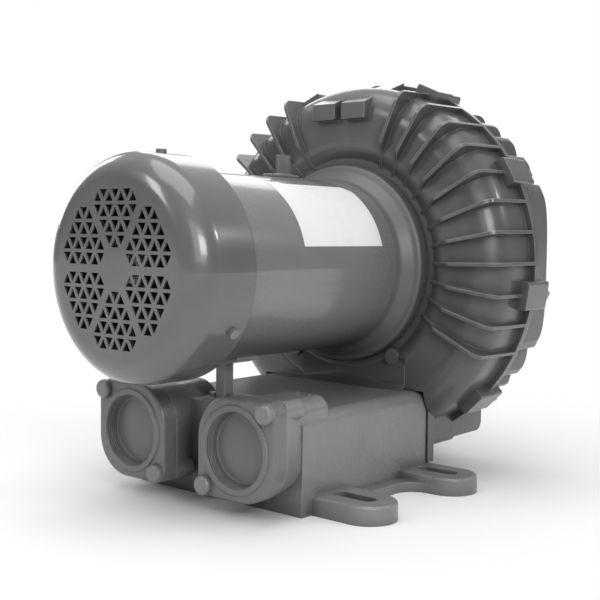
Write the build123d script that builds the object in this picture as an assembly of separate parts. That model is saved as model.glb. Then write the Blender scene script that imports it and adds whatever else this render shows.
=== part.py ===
# Side channel (regenerative) blower on its motor, with a cast silencer base and two pipe ports.
# Millimetres. Origin on the floor at the centre of the four foot slots; +Z up; the motor axis runs
# along +Y from the fan cover to the blower; +X is to the right when looking along +Y.
import os
from math import cos, radians, sin, sqrt

from build123d import *

# Fits and clearances
slip_fit = 0.02            # radial, a part seated in another of the same body
running_clearance = 0.05   # radial, where the rotor or a plug runs in a fixed part
bolt_clearance = 0.4       # radial, a bolt in its through hole
thread_clearance = 0.1     # radial, a bolt in its threaded hole
bolt_head_clearance = 1.0  # round a bolt head let into a casting
gasket_thickness = 1.5
axis_height = 230.0        # motor axis above the floor

# Silencer base: box, feet and necks
base_front = -114.0
base_length = 209.0
base_half_width = 110.0
base_top = 96.0
base_edge_radius = 12.0
base_floor = 12.0
base_wall = 10.0
foot_thickness = 18.0
foot_half_width = 28.0
foot_spacing_x = 278.0
foot_spacing_y = 144.0
foot_edge_radius = 3.0
slot_width = 16.0
slot_length = 48.0
skirt_width = 13.0         # floor flange standing out from the box wall between the feet
skirt_thickness = 10.0
skirt_corner_radius = 24.0
port_x = 71.0              # port axis from the middle plane
port_height = 66.0
port_half_width = 48.0     # half side of the square flange and neck
port_small_corner = 14.0   # corners that carry a bolt
port_large_corner = 40.0
neck_length = 32.0
neck_half_width = 37.5     # where the neck meets the box
neck_half_height = 44.0
neck_large_corner = 30.0
neck_lobe_radius = 9.8     # round the flange bolts
neck_lobe_length = 24.0
neck_shoulder = 39.0       # how far the neck runs on over the box top
neck_bore = 32.0
foam_thickness = 11.0
foam_clearance = 0.3
duct_x = 62.0              # passages from the base up into the blower channel
duct_height = 62.0
duct_radius = 22.0
chamber_divider = 18.0     # half the wall between the two chambers

# Port flanges, closing plugs and their bolts
flange_thickness = 17.0
pipe_thread_radius = 36.2  # 2 1/2 inch pipe thread
thread_depth = 11.0
bead_width = 5.0
bead_height = 1.5
plug_radius = 34.0
plug_depth = 4.0
plug_wall = 2.5
flange_bolt_offset = 37.8  # bolt from the port axis, across and up
m10_radius = 5.0
m10_head_radius = 9.5
m10_head_height = 6.5
flange_bolt_length = 38.0
flange_edge_radius = 3.0
flange_thread_depth = 22.0
m8_radius = 4.0
m8_head_radius = 7.4
m8_head_height = 5.5
thread_relief = 2.0        # threaded hole deeper than its bolt

# Blower housing: hub, side channel, fins and rim
hub_lead = 4.5             # motor seat ahead of the flange on the base
ring_depth = 64.0          # motor seat to the parting plane
hub_radius = 118.0
hub_wall = 12.0
bay_radius = 199.0         # channel wall outside, between the fins
bay_inner_radius = 131.0
bay_depth = 72.0           # channel wall front ahead of the parting plane
bay_outer_round = 32.0
bay_inner_round = 20.0
casing_wall = 7.0
land_radius = 112.0        # where the inner land starts
land_height = 4.4          # behind the hub
rim_radius = 206.0
rim_thickness = 6.0
rim_width = 12.0
fin_pitch = 9.3            # degrees
fin_first_angle = 1.4      # the fin next above the level of the motor axis
fin_lowest = -3            # steps from that fin to the lowest and highest ones
fin_highest = 7
fin_thickness = 3.6
fin_depth = 82.5           # fin front ahead of the parting plane
fin_inner_radius = 145.0
fin_foot_radius = 134.0
fin_foot_depth = 74.0
fin_corner_radius = 203.5
fin_corner_round = 12.5
apron_half_width = 88.0
apron_top = 130.0
apron_clearance = 0.5      # over the base top
mount_flange_thickness = 11.5
mount_flange_half_width = 112.0
manifold_bolt_inner_x = 58.0
manifold_bolt_outer_x = 96.0
body_half_width = 109.0
body_bottom = 32.5
body_edge_radius = 8.0
pad_angle = -55.5          # cast pads on the apron, just outside the motor flange
pad_radius = 9.0
pad_gap = 2.0
pad_thickness = 5.0
stripper_half_width = 22.0
stripper_clearance = 0.5
ear_width = 31.0           # lifting ears on the crown
ear_gap = 10.0
ear_low_radius = 160.5
ear_nose_height = 17.5

# Rear cover
cover_depth = 72.0
cover_fin_radius = 198.0
cover_fin_round = 19.0
cover_fin_pitch = 19.8
cover_fin_count = 19
cover_fin_thickness = 4.0
cover_bay_radius = 186.0
cover_bay_depth = 58.0
cover_bay_round = 34.0
cover_bay_inner_radius = 125.0
cover_web_offset = 15.0    # middle web behind the parting plane
cover_lobe_depth = 59.0
cover_lobe_bottom = 37.5
cover_lobe_round = 11.0

# Rim bolts
rim_bolt_steps = (7, 3, -1, -5)   # positions in fin spacings, mirrored left to right
rim_bolt_inset = 9.0       # bolt circle inside the boss faces
boss_height = 19.0         # from its root in the rim to its face
boss_outer_radius = 212.0
boss_width = 30.0
boss_length = 29.0
cover_boss_length = 17.0
cover_boss_drop = 1.0
rim_bolt_engagement = 20.0
washer_radius = 8.0
washer_thickness = 2.0

# Motor
frame_radius = 91.5
frame_wall = 4.0
frame_length = 240.0
drive_bell_length = 34.0
drive_flange_radius = 110.0
drive_flange_thickness = 14.0
spigot_length = 8.0
spigot_wall = 6.5
bell_wall = 8.0
stator_length = 145.0
stator_setback = 38.0      # stator core ahead of the frame's drive end
stator_bore = 44.6
air_gap = 0.6
winding_inner_radius = 50.0
winding_outer_radius = 80.0
winding_length = 28.0
through_bolt_radius = 2.5
through_bolt_circle = 84.0
through_bolt_head = 4.0
mounting_bolt_circle = 74.6
mounting_bolt_engagement = 14.0

# Bearings and shaft
drive_bearing_bore = 15.0
drive_bearing_outer = 31.0
drive_bearing_width = 16.0
fan_bearing_bore = 12.5
fan_bearing_outer = 26.0
fan_bearing_width = 15.0
race_thickness = 5.0
shield_thickness = 1.0
shield_gap = 0.3
shaft_radius = 19.0
fan_seat_radius = 10.0
fan_seat_length = 32.0
impeller_seat_radius = 13.0
impeller_seat_length = 36.0
key_width = 8.0
key_height = 7.0
key_length = 30.0
seal_radius = 22.0
seal_width = 8.0

# Cooling fan and fan cover
fan_radius = 88.0
fan_hub_radius = 20.0
fan_width = 24.0
fan_disc = 3.0
fan_blade_count = 8
fan_blade_thickness = 2.5
fan_gap = 10.0             # fan disc ahead of the fan end bell
clip_thickness = 1.5
cover_radius = 105.5
cover_thickness = 2.0
cover_length = 70.0
cover_round = 26.0
cover_overlap = 7.0        # skirt reaching back over the frame
hole_pitch = 15.75         # triangular openings in six sectors
hole_web = 3.0
hole_rows = 5
hole_field_start = 4.46
cover_screw_radius = 3.0
cover_screw_head_radius = 5.0
cover_screw_head_height = 4.0
cover_screw_angles = (90, -30, 210)
lug_width = 18.0
lug_length = 16.0

# Impeller
impeller_radius = 186.0
impeller_width = 44.0
impeller_bowl_radius = 140.0
impeller_rim_inner = 122.0
impeller_web = 8.0
impeller_hub_radius = 32.0
impeller_face_gap = 0.6
vane_count = 40
vane_thickness = 2.6
divider_thickness = 4.0
impeller_washer_radius = 18.0
impeller_washer_thickness = 3.0
impeller_bolt_length = 30.0

# Motor fittings
lug_pad_length = 45.0
lug_pad_width = 12.0
lug_pad_height = 3.0
lug_pad_y = -21.5
lifting_tab_length = 18.5
lifting_tab_thickness = 4.0
lifting_tab_height = 23.5
lifting_y = -18.5
support_y = -104.0
support_width = 12.0
support_saddle_width = 60.0
support_plate_width = 38.0
support_plate_thickness = 4.0
support_screw_x = 13.0
m6_radius = 3.0
m6_head_radius = 5.5
m6_head_height = 4.0
conduit_front = -165.0
conduit_length = 90.0
conduit_height = 90.0
conduit_outer_x = 140.0
conduit_floor_x = 98.0
conduit_wall = 3.0
conduit_lid = 2.5
conduit_screw_inset = 7.5
conduit_pillar_radius = 5.5
conduit_entry_radius = 11.0
conduit_lead_radius = 9.0
conduit_lead_y = -140.0

# Stations along the motor axis
base_back = base_front + base_length
housing_front = base_back + gasket_thickness
hub_face = housing_front - hub_lead
hub_back = hub_face + hub_wall
rim_plane = hub_face + ring_depth
frame_end = hub_face - drive_bell_length
frame_start = frame_end - frame_length
stator_end = frame_end - stator_setback
stator_start = stator_end - stator_length
fan_bell_face = frame_start - bell_wall
cover_lip = frame_start + cover_overlap
cover_face = cover_lip - cover_length
neck_front = base_front - neck_length
flange_back = neck_front - gasket_thickness
flange_front = flange_back - flange_thickness
plug_face = flange_front - bead_height + thread_depth
impeller_front = hub_back + land_height + impeller_face_gap
impeller_back = impeller_front + impeller_width
impeller_middle = (impeller_front + impeller_back) / 2
frame_inner = frame_radius - frame_wall
rim_bolt_circle = boss_outer_radius - rim_bolt_inset
boss_inner_radius = boss_outer_radius - boss_height
mount_flange_end = housing_front + mount_flange_thickness
manifold_bolt_height = (foot_thickness + body_bottom) / 2
manifold_bolt_x = [side * x for side in (-1, 1) for x in (manifold_bolt_inner_x, manifold_bolt_outer_x)]
seat_start = impeller_front + 3
seat_end = seat_start + impeller_seat_length

motor_axis = Axis((0, 0, axis_height), (0, 1, 0))
middle = Plane.YZ
upright = (Align.CENTER, Align.CENTER, Align.MIN)
from_corner = (Align.MIN, Align.MIN, Align.MIN)


# A flat closed outline; a corner is (x, y) or (x, y, corner radius)
def outline(*corners):
    points = [corner[:2] for corner in corners]
    rounds = [corner[2] if len(corner) > 2 else 0 for corner in corners]
    if any(rounds):
        return make_face(FilletPolyline(*points, radius=rounds, close=True))
    return make_face(Polyline(*points, close=True))


# A solid of revolution about the motor axis; corners are (radius, station, corner radius)
def turned(*corners):
    return revolve(Pos(0, 0, axis_height) * outline(*corners), motor_axis)


def ring(inner, outer, start, end):
    return turned((inner, start), (outer, start), (outer, end), (inner, end))


def rod(radius, start, end, x=0.0, z=axis_height):
    return Pos(x, start, z) * Rot(-90, 0, 0) * Cylinder(radius, end - start, align=upright)


def post(radius, low, high, x, y):
    return Pos(x, y, low) * Cylinder(radius, high - low, align=upright)


def block(x, y, z):
    return Pos(x[0], y[0], z[0]) * Box(x[1] - x[0], y[1] - y[0], z[1] - z[0], align=from_corner)


# Turned about the motor axis, from +X towards +Z
def spun(shape, angle):
    return shape.rotate(motor_axis, -angle)


# A rod pointing away from the motor axis at an angle
def spoke(radius, inner, outer, station, angle):
    pin = Pos(inner, station, axis_height) * Rot(0, 90, 0) * Cylinder(radius, outer - inner, align=upright)
    return spun(pin, angle)


def on_circle(radius, angle):
    return radius * cos(radians(angle)), axis_height + radius * sin(radians(angle))


def hexagon(radius, start, height, x, z):
    flat = Plane((x, start, z), x_dir=(1, 0, 0), z_dir=(0, 1, 0)) * RegularPolygon(radius, 6)
    return extrude(flat, height)


def group(solids):
    return Compound(children=[solid for item in solids for solid in item.solids()])


# A block reaching as far to the left of the middle plane as to the right
def slab(half, y, z):
    return block((-half, half), y, z)


def both_sides(shape):
    return [shape, mirror(shape, about=middle)]


# Motor

def motor_frame():
    shell = ring(frame_inner, frame_radius, frame_start, frame_end)
    lead_hole = spoke(conduit_lead_radius, 0, frame_radius * 2, conduit_lead_y, 180)
    return shell - lead_hole


def fan_end_bell():
    spigot = frame_inner - slip_fit
    seat = fan_bearing_outer + slip_fit
    shaft_hole = fan_bearing_bore + 1
    seat_end = fan_bell_face + 3
    bell = turned(
        (shaft_hole, fan_bell_face - 3), (seat + 10, fan_bell_face - 3), (seat + 10, fan_bell_face),
        (frame_radius, fan_bell_face, 3), (frame_radius, frame_start), (spigot, frame_start),
        (spigot, frame_start + spigot_length), (spigot - spigot_wall, frame_start + spigot_length),
        (spigot - spigot_wall, frame_start, 2), (seat + 7, frame_start, 2),
        (seat + 7, seat_end + fan_bearing_width), (seat, seat_end + fan_bearing_width),
        (seat, seat_end), (shaft_hole, seat_end),
    )
    lug_outer = cover_radius - cover_thickness - slip_fit
    band = ring(frame_radius - 8, lug_outer, frame_start - lug_length, frame_start)
    for angle in cover_screw_angles:
        lug = block(
            (frame_radius - 8, cover_radius), (frame_start - lug_length, frame_start),
            (axis_height - lug_width / 2, axis_height + lug_width / 2))
        bell += band & spun(lug, angle)
    hole = cover_screw_radius + thread_clearance
    station = frame_start - lug_length / 2
    bell -= [spoke(hole, frame_radius - 4, cover_radius, station, angle) for angle in cover_screw_angles]
    return bell - through_bolt_holes(fan_bell_face - 3, frame_start + spigot_length, bolt_clearance)


def through_bolt_places():
    return [on_circle(through_bolt_circle, angle) for angle in (45, 135, 225, 315)]


def through_bolt_holes(start, end, clearance):
    return [rod(through_bolt_radius + clearance, start, end, x, z) for x, z in through_bolt_places()]


def drive_end_bell():
    spigot = frame_inner - slip_fit
    seat = drive_bearing_outer + slip_fit
    lip_front = hub_face - drive_flange_thickness
    seat_end = frame_end + 2 + drive_bearing_width
    bell = turned(
        (drive_bearing_bore + 1.5, seat_end), (seat, seat_end), (seat, frame_end), (seat + 9, frame_end),
        (seat + 9, seat_end - 2, 3), (spigot - spigot_wall, seat_end - 2, 6),
        (spigot - spigot_wall, frame_end - spigot_length), (spigot, frame_end - spigot_length),
        (spigot, frame_end), (frame_radius, frame_end), (frame_radius + 1.5, frame_end + 8, 7),
        (drive_flange_radius - 7, lip_front - 2, 5), (drive_flange_radius, lip_front, 4),
        (drive_flange_radius, hub_face, 1.5), (drive_bearing_bore + 1.5, hub_face),
    )
    bell -= through_bolt_holes(frame_end - spigot_length, frame_end + 10, thread_clearance)
    for x, z in mounting_bolt_places():
        bell -= rod(m10_radius + thread_clearance, hub_face - mounting_bolt_engagement - 1, hub_face, x, z)
    return bell


def mounting_bolt_places():
    return [on_circle(mounting_bolt_circle, angle) for angle in (45, 135, 225, 315)]


def motor_mounting_bolts():
    bolts = []
    for x, z in mounting_bolt_places():
        shank = rod(m10_radius, hub_face - mounting_bolt_engagement, hub_back, x, z)
        bolts.append(shank + rod(m10_head_radius - 1.5, hub_back, hub_back + 4, x, z))
    return group(bolts)


def motor_through_bolts():
    bolts = []
    for x, z in through_bolt_places():
        shank = rod(through_bolt_radius, fan_bell_face, frame_end + 8, x, z)
        bolts.append(shank + hexagon(4.5, fan_bell_face - through_bolt_head, through_bolt_head, x, z))
    return group(bolts)


def stator_core():
    core = ring(stator_bore, frame_inner - slip_fit, stator_start, stator_end)
    return core - through_bolt_holes(stator_start, stator_end, bolt_clearance)


def stator_windings():
    ends = []
    front_end = (stator_start, stator_start - winding_length)
    back_end = (stator_end, stator_end + winding_length)
    for near, far in (front_end, back_end):
        ends.append(turned(
            (winding_inner_radius, near), (winding_outer_radius, near),
            (winding_outer_radius, far, 9), (winding_inner_radius, far, 9)))
    return group(ends)


def bearing_outer(bore, outer, start, width):
    shield = bore + race_thickness + shield_gap
    race = outer - race_thickness
    end = start + width
    return turned(
        (shield, start), (outer, start), (outer, end), (shield, end), (shield, end - shield_thickness),
        (race, end - shield_thickness), (race, start + shield_thickness),
        (shield, start + shield_thickness))


def bearing_inner(bore, start, width):
    return ring(bore + slip_fit, bore + race_thickness, start, start + width)


fan_bearing_start = fan_bell_face + 3
drive_bearing_start = frame_end + 2


def shaft():
    core_lead = 10
    body_start = stator_start - winding_length - core_lead
    body_end = stator_end + winding_length
    fan_end = fan_bell_face - fan_gap - fan_width - 4
    bearing_end = fan_bearing_start + fan_bearing_width
    turned_bar = turned(
        (0, fan_end), (fan_seat_radius, fan_end, 1), (fan_seat_radius, fan_bell_face - fan_gap),
        (fan_bearing_bore, fan_bell_face - fan_gap), (fan_bearing_bore, bearing_end),
        (fan_bearing_bore + 2.5, bearing_end), (fan_bearing_bore + 2.5, body_start),
        (shaft_radius, body_start), (shaft_radius, body_end), (drive_bearing_bore + 2.5, body_end),
        (drive_bearing_bore + 2.5, drive_bearing_start), (drive_bearing_bore, drive_bearing_start),
        (drive_bearing_bore, seat_start), (impeller_seat_radius, seat_start),
        (impeller_seat_radius, seat_end, 1), (0, seat_end))
    groove_start = fan_bell_face - fan_gap - fan_width - clip_thickness
    groove = ring(fan_seat_radius - 1.5, fan_seat_radius + 1, groove_start, groove_start + clip_thickness)
    bolt_hole = rod(m10_radius + thread_clearance, seat_end - impeller_bolt_length, seat_end)
    return turned_bar - groove - key_block(slip_fit) - bolt_hole


def key_block(clearance):
    start = seat_start + 2
    low = axis_height + impeller_seat_radius - key_height * 0.55
    return slab(key_width / 2 + clearance, (start - clearance, start + key_length + clearance),
                (low - clearance, low + key_height + clearance))


def rotor_core():
    core = ring(shaft_radius + slip_fit, stator_bore - air_gap, stator_start, stator_end)
    for start in (stator_start - 8, stator_end):
        core += ring(30, stator_bore - air_gap - 1.5, start, start + 8)
    return core


def cooling_fan():
    disc_back = fan_bell_face - fan_gap
    front = disc_back - fan_width
    bore = fan_seat_radius + slip_fit
    wheel = turned(
        (bore, front), (fan_hub_radius, front), (fan_hub_radius, disc_back - fan_disc, 4),
        (fan_radius, disc_back - fan_disc), (fan_radius, disc_back), (bore, disc_back))
    half = fan_blade_thickness / 2
    blade = block(
        (fan_hub_radius - 2, fan_radius), (front, disc_back - 1), (axis_height - half, axis_height + half))
    return wheel + [spun(blade, 360 / fan_blade_count * turn) for turn in range(fan_blade_count)]


def fan_clip():
    start = fan_bell_face - fan_gap - fan_width - clip_thickness
    clip = ring(fan_seat_radius - 1.4, fan_seat_radius + 3, start, start + clip_thickness)
    return clip - slab(3, (start, start + clip_thickness), (axis_height, axis_height + 20))


# Fan cover

def cover_holes():
    row_height = hole_pitch * sqrt(3) / 2
    hole_radius = hole_pitch / sqrt(3) - hole_web
    last = hole_rows - 1
    holes = []
    for row in range(hole_rows):
        for place in range(2 * row + 1):
            if row == 0 or (row == last and place in (0, 2 * row)):
                continue
            towards_hub = place % 2 == 0
            height = hole_field_start + (row + (2 / 3 if towards_hub else 1 / 3)) * row_height
            triangle = RegularPolygon(hole_radius, 3, rotation=-90 if towards_hub else 90)
            holes.append(Pos((place - row) * hole_pitch / 2, height) * triangle)
    sector = Sketch() + holes
    face = Plane((0, cover_face, axis_height), x_dir=(1, 0, 0), z_dir=(0, -1, 0))
    prisms = extrude(face * sector, amount=cover_thickness + 1, both=True)
    return [spun(prisms, 60 * turn) for turn in range(6)]


def fan_cover():
    inner = cover_radius - cover_thickness
    cowl = turned(
        (0, cover_face), (cover_radius, cover_face, cover_round), (cover_radius, cover_lip),
        (inner, cover_lip), (inner, cover_face + cover_thickness, cover_round - cover_thickness),
        (0, cover_face + cover_thickness))
    station = frame_start - lug_length / 2
    cowl -= [spoke(cover_screw_radius + bolt_clearance, frame_radius, cover_radius + 5, station, angle)
             for angle in cover_screw_angles]
    return cowl - cover_holes()


def fan_cover_screws():
    station = frame_start - lug_length / 2
    screws = []
    for angle in cover_screw_angles:
        head_top = cover_radius + cover_screw_head_height
        head = spoke(cover_screw_head_radius, cover_radius, head_top, station, angle)
        screws.append(head + spoke(cover_screw_radius, frame_radius - 2, cover_radius + 1, station, angle))
    return group(screws)


# Fittings on the motor

def motor_lifting_lug():
    shell_top = axis_height + frame_radius
    half_pad = lug_pad_length / 2
    pad = slab(lug_pad_width / 2, (lug_pad_y - half_pad, lug_pad_y + half_pad),
                (shell_top - lug_pad_height, shell_top + lug_pad_height))
    pad = fillet(pad.edges().group_by(Axis.Z)[-1], lug_pad_height / 2)
    half_tab = lifting_tab_length / 2
    half = lifting_tab_thickness / 2
    tab = slab(half, (lifting_y - half_tab, lifting_y + half_tab),
                (shell_top, shell_top + lifting_tab_height))
    return pad + tab - rod(frame_radius, frame_start, frame_end)


def motor_support():
    half = support_width / 2
    plate_top = base_top + support_plate_thickness
    pillar = slab(half, (support_y - half, support_y + half), (base_top, axis_height))
    saddle = ring(frame_radius, frame_radius + 4, support_y - 14, support_y + 14)
    saddle &= slab(support_saddle_width / 2, (support_y - 14, support_y + 14),
                    (0, axis_height))
    plate = slab(support_plate_width / 2, (support_y - 10, support_y + 12),
                  (base_top, plate_top))
    bracket = pillar - rod(frame_radius, frame_start, frame_end) + saddle + plate
    for x in (-support_screw_x, support_screw_x):
        bracket -= post(m6_radius + bolt_clearance, base_top, plate_top, x, support_y)
    return bracket


def support_screws():
    top = base_top + support_plate_thickness
    screws = []
    for x in (-support_screw_x, support_screw_x):
        head = Pos(x, support_y, top) * extrude(RegularPolygon(m6_head_radius, 6), m6_head_height)
        screws.append(head + post(m6_radius, base_top - base_floor + 2, top, x, support_y))
    return group(screws)


def conduit_box():
    low, high = axis_height - conduit_height / 2, axis_height + conduit_height / 2
    back = conduit_front + conduit_length
    box = block((-conduit_outer_x, -frame_radius * 0.8), (conduit_front, back), (low, high))
    box = fillet(box.edges().filter_by(Axis.X), 6)
    box -= rod(frame_radius, frame_start - 20, frame_end)
    wall = conduit_wall
    box -= block(
        (-conduit_outer_x, -conduit_floor_x), (conduit_front + wall, back - wall), (low + wall, high - wall))
    for y, z in conduit_screw_places():
        pillar = Pos(-conduit_outer_x, y, z) * Rot(0, 90, 0) * Cylinder(
            conduit_pillar_radius, conduit_outer_x - conduit_floor_x, align=upright)
        box += pillar
    box -= [conduit_screw(y, z, m6_radius * 0.7 + thread_clearance, 20) for y, z in conduit_screw_places()]
    box -= spoke(conduit_lead_radius, 0, conduit_outer_x - 1, conduit_lead_y, 180)
    entry_y = conduit_front + conduit_length / 2
    entry_x = -(conduit_outer_x + conduit_floor_x) / 2
    return box - post(conduit_entry_radius, low, low + conduit_wall, entry_x, entry_y)


def conduit_screw_places():
    inset = conduit_screw_inset
    low, high = axis_height - conduit_height / 2 + inset, axis_height + conduit_height / 2 - inset
    near, far = conduit_front + inset, conduit_front + conduit_length - inset
    return [(near, low), (near, high), (far, low), (far, high)]


def conduit_screw(y, z, radius, depth):
    start = -conduit_outer_x - gasket_thickness - conduit_lid
    reach = depth + gasket_thickness + conduit_lid
    return Pos(start, y, z) * Rot(0, 90, 0) * Cylinder(radius, reach, align=upright)


def conduit_plate(start, thickness):
    low, high = axis_height - conduit_height / 2, axis_height + conduit_height / 2
    plate = block((start - thickness, start), (conduit_front, conduit_front + conduit_length), (low, high))
    plate = fillet(plate.edges().filter_by(Axis.X), 6)
    return plate - [conduit_screw(y, z, m6_radius * 0.7 + bolt_clearance, 20)
                    for y, z in conduit_screw_places()]


def conduit_gasket():
    low, high = axis_height - conduit_height / 2, axis_height + conduit_height / 2
    rim = 13
    plate = conduit_plate(-conduit_outer_x, gasket_thickness)
    window = block((-conduit_outer_x - 5, -conduit_outer_x + 5),
                   (conduit_front + rim, conduit_front + conduit_length - rim), (low + rim, high - rim))
    return plate - window


def conduit_screws():
    screws = []
    top = -conduit_outer_x - gasket_thickness - conduit_lid
    for y, z in conduit_screw_places():
        head = Pos(top - 3, y, z) * Rot(0, 90, 0) * Cylinder(4, 3, align=upright)
        screws.append(head + conduit_screw(y, z, m6_radius * 0.7, 12))
    return group(screws)


# Blower housing

def fin_angle(step):
    return fin_first_angle + fin_pitch * step


# The fins that are present; none cross the apron or the lifting ears
def fin_angles():
    right = [fin_angle(step) for step in range(fin_lowest, fin_highest + 1)]
    return right + [180 - angle for angle in right]


def channel_outside():
    front = rim_plane - bay_depth
    return turned(
        (0, hub_face), (hub_radius, hub_face, 6), (bay_inner_radius, front, bay_inner_round),
        (bay_radius, front, bay_outer_round), (bay_radius, rim_plane), (0, rim_plane))


def channel_inside():
    front = rim_plane - bay_depth + casing_wall
    land = impeller_front - impeller_face_gap
    inner = impeller_bowl_radius - 3
    outer = bay_radius - casing_wall
    return turned(
        (0, hub_back), (land_radius, hub_back), (land_radius, land), (inner, land),
        (inner, front, bay_inner_round - casing_wall), (outer, front, bay_outer_round - casing_wall),
        (outer, rim_plane), (0, rim_plane))


def housing_fin():
    back = casing_wall / 2
    fin = outline(
        (hub_radius - 3, hub_face), (fin_foot_radius, rim_plane - fin_foot_depth, 4),
        (fin_inner_radius, rim_plane - fin_depth, 8),
        (fin_corner_radius, rim_plane - fin_depth, fin_corner_round), (rim_radius, rim_plane),
        (bay_radius - back, rim_plane),
        (bay_radius - back, rim_plane - bay_depth + back, bay_outer_round - back),
        (bay_inner_radius + back, rim_plane - bay_depth + back, bay_inner_round - back),
        (hub_radius + back, hub_face + back))
    return extrude(Pos(0, 0, axis_height) * fin, fin_thickness / 2, both=True)


# One half of a rim bolt boss, standing over the rim at angle 0
def rim_boss(inner, outer, start, end):
    half = boss_width / 2
    shape = block((inner, outer), (start, end), (axis_height - half, axis_height + half))
    return fillet(shape.edges().filter_by(Axis.Y).sort_by(Axis.X)[-2:], 3)


def rim_bolt_angles():
    right = [fin_angle(step) for step in rim_bolt_steps]
    return right + [180 - angle for angle in right]


def rim_rods(radius, start, end):
    places = [on_circle(rim_bolt_circle, angle) for angle in rim_bolt_angles()]
    return [rod(radius, start, end, x, z) for x, z in places]


def manifold_rods(radius, start, end):
    return [rod(radius, start, end, x, manifold_bolt_height) for x in manifold_bolt_x]


# Two wedge ears on the crown, flush with the fin fronts and running up to the rim
def lifting_ears():
    nose = rim_plane - fin_depth
    half = ear_gap / 2
    inside = bay_radius - casing_wall / 2
    side = outline(
        (ear_low_radius, nose), (ear_low_radius + ear_nose_height, nose),
        (rim_radius, rim_plane - rim_thickness),
        (inside, rim_plane - rim_thickness), (inside, rim_plane - bay_depth + bay_outer_round),
        (ear_low_radius, rim_plane - bay_depth + casing_wall / 2))
    ear = Pos(0, 0, half) * extrude(Pos(0, 0, axis_height) * side, ear_width)
    pair = [ear, mirror(ear, about=Plane.XY.offset(axis_height))]
    return [spun(half_ear, 90) for half_ear in pair]


def blower_housing():
    apron_bottom = base_top + apron_clearance
    shell = channel_outside()
    shell += [spun(housing_fin(), angle) for angle in fin_angles()]
    shell += ring(bay_radius - 1, rim_radius, rim_plane - rim_thickness, rim_plane)
    shell += lifting_ears()
    shell -= slab(apron_half_width, (0, hub_face), (0, apron_top))
    shell -= slab(mount_flange_half_width, (0, housing_front), (0, apron_bottom))
    lower = slab(body_half_width, (housing_front, rim_plane), (body_bottom, apron_bottom))
    lower = fillet(lower.edges().filter_by(Axis.Y).group_by(Axis.Z)[0], body_edge_radius)
    flange = slab(mount_flange_half_width, (housing_front, mount_flange_end),
                   (foot_thickness, apron_bottom))
    boss = rim_boss(boss_inner_radius, boss_outer_radius, rim_plane - boss_length, rim_plane)
    shell += [lower, flange]
    shell += [spun(boss, angle) for angle in rim_bolt_angles()]
    pad_x, pad_z = on_circle(drive_flange_radius + pad_gap + pad_radius, pad_angle)
    shell += both_sides(rod(pad_radius, hub_face - pad_thickness, hub_face + 1, pad_x, pad_z))
    shell -= channel_cavity()
    for x in (-duct_x, duct_x):
        shell -= rod(duct_radius, 0, rim_plane - casing_wall, x, duct_height)
    shell -= rod(seal_radius + slip_fit, 0, hub_face + seal_width)
    shell -= rod(drive_bearing_bore + 2, 0, rim_plane)
    shell -= [rod(m10_radius + bolt_clearance, 0, hub_back, x, z) for x, z in mounting_bolt_places()]
    thread_start = rim_plane - rim_bolt_engagement - thread_relief
    shell -= rim_rods(m8_radius + thread_clearance, thread_start, rim_plane)
    shell -= manifold_rods(m8_radius + bolt_clearance, housing_front, mount_flange_end)
    head_room = mount_flange_end + m8_head_height + bolt_head_clearance
    return shell - manifold_rods(m8_head_radius + bolt_head_clearance, mount_flange_end, head_room)


def channel_cavity():
    cavity = channel_inside()
    wall = casing_wall
    cavity -= slab(apron_half_width + wall, (0, hub_back), (0, apron_top + wall))
    half = mount_flange_half_width + wall
    cavity -= slab(half, (0, hub_back), (0, base_top + apron_clearance + wall))
    stripper = slab(stripper_half_width, (hub_back, rim_plane), (0, axis_height - land_radius))
    gap = stripper_clearance
    swept = ring(0, impeller_radius + gap, impeller_front - gap, rim_plane)
    return cavity - (stripper - swept)


def manifold_bolts():
    bolts = manifold_rods(m8_radius, base_back - base_wall + 1, mount_flange_end)
    heads = [hexagon(m8_head_radius, mount_flange_end, m8_head_height, x, manifold_bolt_height)
             for x in manifold_bolt_x]
    return group([shank + head for shank, head in zip(bolts, heads)])


def shaft_seal():
    return ring(drive_bearing_bore + running_clearance, seal_radius, hub_face, hub_face + seal_width)


# Rear cover

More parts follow.
